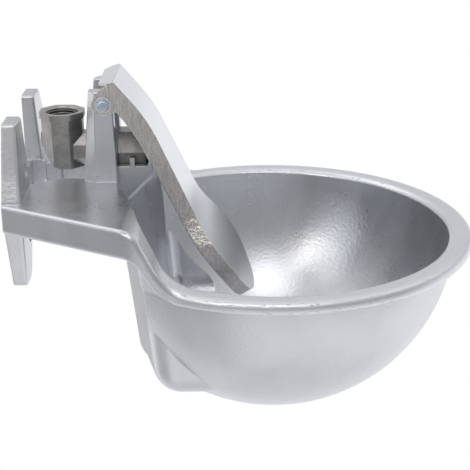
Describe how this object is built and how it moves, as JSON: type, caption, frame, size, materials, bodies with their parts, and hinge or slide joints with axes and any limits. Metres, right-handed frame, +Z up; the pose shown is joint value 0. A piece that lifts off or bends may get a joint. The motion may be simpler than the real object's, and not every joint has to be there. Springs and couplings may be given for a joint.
{
  "type": "livestock drinking bowl",
  "caption": "Wall-mounted drinking bowl for animals: a cast bowl on a pronged plate, with a tongue that is pushed to open a spring-closed water valve",
  "frame": {"origin": "on the mounting face, in the middle of the four bolt holes", "axes": "+X points out of the wall towards the bowl, +Z is up, Y runs across and the part is symmetric about y = 0"},
  "size_m": [0.2999, 0.265, 0.2255],
  "materials": {
    "cast_aluminium": "satin silver lacquered casting with fine ripple",
    "pressed_stainless": "brushed stainless sheet",
    "turned_stainless": "turned stainless",
    "zinc_plated_pin": "blue zinc plate",
    "cast_stainless": "grainy investment cast stainless",
    "seal_rubber": "matt black rubber",
    "seat_brass": "machined brass",
    "guide_plastic": "natural acetal"
  },
  "bodies": {
    "frame": {"bowl_casting": "cast_aluminium", "pivot_pin": "zinc_plated_pin", "valve_body": "cast_stainless", "valve_nozzle": "cast_stainless", "nozzle_washer": "turned_stainless", "nozzle_gasket": "seal_rubber", "valve_seat": "seat_brass", "stem_guide": "guide_plastic", "guide_circlip": "turned_stainless", "spring_cup": "guide_plastic", "inlet_strainer": "guide_plastic"},
    "tongue": {"paddle": "pressed_stainless", "bush_near": "turned_stainless", "bush_far": "turned_stainless"},
    "stem": {"valve_stem": "turned_stainless", "seal_disc": "seal_rubber", "seal_washer": "turned_stainless", "seal_nut": "turned_stainless", "valve_spring": "turned_stainless"}
  },
  "joints": [
    {"name": "tongue_pivot", "type": "hinge", "parent": "frame", "child": "tongue", "pos_m": [0.06, 0, 0.0606], "axis": [0, 1, 0], "range_deg": [0, 5], "stiffness_Nm_per_rad": 2, "springref_deg": -5.73},
    {"name": "stem_slide", "type": "slide", "parent": "frame", "child": "stem", "axis": [1, 0, 0], "range_m": [-0.0044, 0], "deforming": ["valve_spring"]}
  ],
  "couplings": [
    {"joint": "stem_slide", "follows": "tongue_pivot", "m_per_rad": -0.046}
  ]
}
